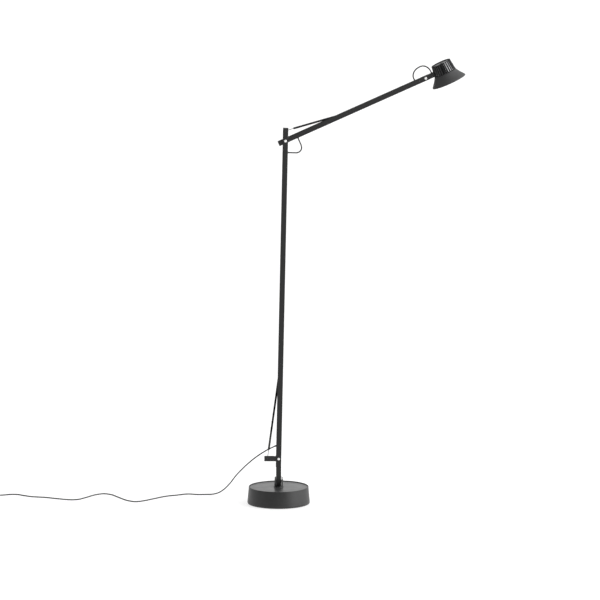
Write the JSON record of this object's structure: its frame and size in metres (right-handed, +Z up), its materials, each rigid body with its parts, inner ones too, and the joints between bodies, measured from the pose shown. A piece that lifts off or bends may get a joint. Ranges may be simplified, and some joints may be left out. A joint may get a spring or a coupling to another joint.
{
  "type": "adjustable arm floor lamp",
  "caption": "Spring-balanced floor lamp: heavy round base, leaning mast, tilting arm and a finned bucket-shaped LED head, with a low-voltage cord.",
  "frame": {"origin": "centre of the base's underside, on the floor", "axes": "+Z up; +X the way the arm reaches; +Y completes the right-handed frame, away from the viewer who sees the arm reach to the right"},
  "size_m": [1.8518, 0.2906, 1.6916],
  "materials": {
    "base_coat": "satin black powder coat",
    "top_plate": "satin dark grey powder coat",
    "ballast_iron": "rough casting",
    "zinc_steel": "zinc plated",
    "rubber": "matt",
    "grey_nylon": "moulded, self-coloured",
    "black_coat": "fine satin black powder coat",
    "black_tube": "aluminium section, fine satin black powder coat",
    "nickel": "polished nickel",
    "black_plastic": "fine texture",
    "cable_jacket": "smooth matt jacket",
    "spring_steel": "blackened spring wire with a bright hook",
    "black_screw": "blackened",
    "shade_coat": "cast aluminium, fine satin black powder coat",
    "cap_coat": "satin dark grey coat",
    "green_board": "solder mask",
    "white_board": "white solder mask on aluminium",
    "bright_reflector": "bright anodised",
    "opal_plastic": "opal diffuser",
    "plug_plastic": "fine spark-eroded texture"
  },
  "bodies": {
    "base": {"base_housing": "base_coat", "base_top_plate": "top_plate", "ballast_disc": "ballast_iron", "base_bottom_plate": "zinc_steel", "foot_pad": "rubber", "swivel_bush": "grey_nylon"},
    "foot": {"post_holder": "black_coat", "swivel_bolt": "zinc_steel", "swivel_nut": "zinc_steel", "holder_screw": "zinc_steel", "lower_post": "black_coat", "spring_lever": "black_coat", "lever_screw": "zinc_steel", "lever_hook_pin": "black_screw", "lower_pin": "nickel", "lower_pin_nut": "zinc_steel", "lower_washer_back": "grey_nylon", "lower_washer_front": "grey_nylon", "power_cord": "cable_jacket", "cord_coil": "cable_jacket", "plug": "plug_plastic"},
    "mast": {"mast": "black_tube", "mast_top_cap": "black_plastic", "mast_anchor_pin": "black_screw", "upper_hook_pin": "black_screw", "cord_clamp": "black_plastic", "strain_relief": "rubber", "mast_cable": "cable_jacket", "mast_grommet": "rubber", "lower_spring": "spring_steel", "upper_pin": "nickel", "upper_pin_nut": "zinc_steel", "upper_washer_back": "grey_nylon", "upper_washer_front": "grey_nylon"},
    "arm": {"arm": "black_tube", "arm_end_cap": "black_plastic", "arm_anchor_pin": "black_screw", "arm_spacer": "black_plastic", "spacer_screw": "black_screw", "arm_grommet": "rubber", "arm_cable": "cable_jacket", "joint_cable": "cable_jacket", "upper_spring": "spring_steel", "head_pin": "nickel", "head_pin_nut": "zinc_steel", "head_washer_back": "grey_nylon", "head_washer_front": "grey_nylon"},
    "head": {"neck_bar": "black_tube", "neck_screw": "zinc_steel", "neck_grommet": "rubber", "head_cable": "cable_jacket", "crown": "shade_coat", "crown_cap": "cap_coat", "control_board": "green_board", "led_board": "white_board", "reflector": "bright_reflector", "brim": "shade_coat", "diffuser": "opal_plastic", "diffuser_ring": "black_plastic"},
    "button": {"dimmer_button": "black_plastic"}
  },
  "joints": [
    {"name": "base_swivel", "type": "hinge", "parent": "base", "child": "foot", "pos_m": [0, 0, 0.0641], "axis": [0, 0, 1], "range_deg": [-170, 170]},
    {"name": "mast_tilt", "type": "hinge", "parent": "foot", "child": "mast", "pos_m": [0, 0, 0.1715], "axis": [0, 1, 0], "range_deg": [-15, 20], "deforming": ["lower_spring", "power_cord"]},
    {"name": "arm_tilt", "type": "hinge", "parent": "mast", "child": "arm", "pos_m": [0.026, 0, 1.38222], "axis": [0, -1, 0], "range_deg": [-60, 35], "deforming": ["upper_spring", "joint_cable"]},
    {"name": "head_tilt", "type": "hinge", "parent": "arm", "child": "head", "pos_m": [0.55018, 0, 1.61857], "axis": [0, -1, 0], "range_deg": [-60, 50], "deforming": ["head_cable"]},
    {"name": "button_press", "type": "slide", "parent": "head", "child": "button", "axis": [0.411, 0, -0.9116], "range_m": [0, 0.001], "stiffness_N_per_m": 600}
  ]
}
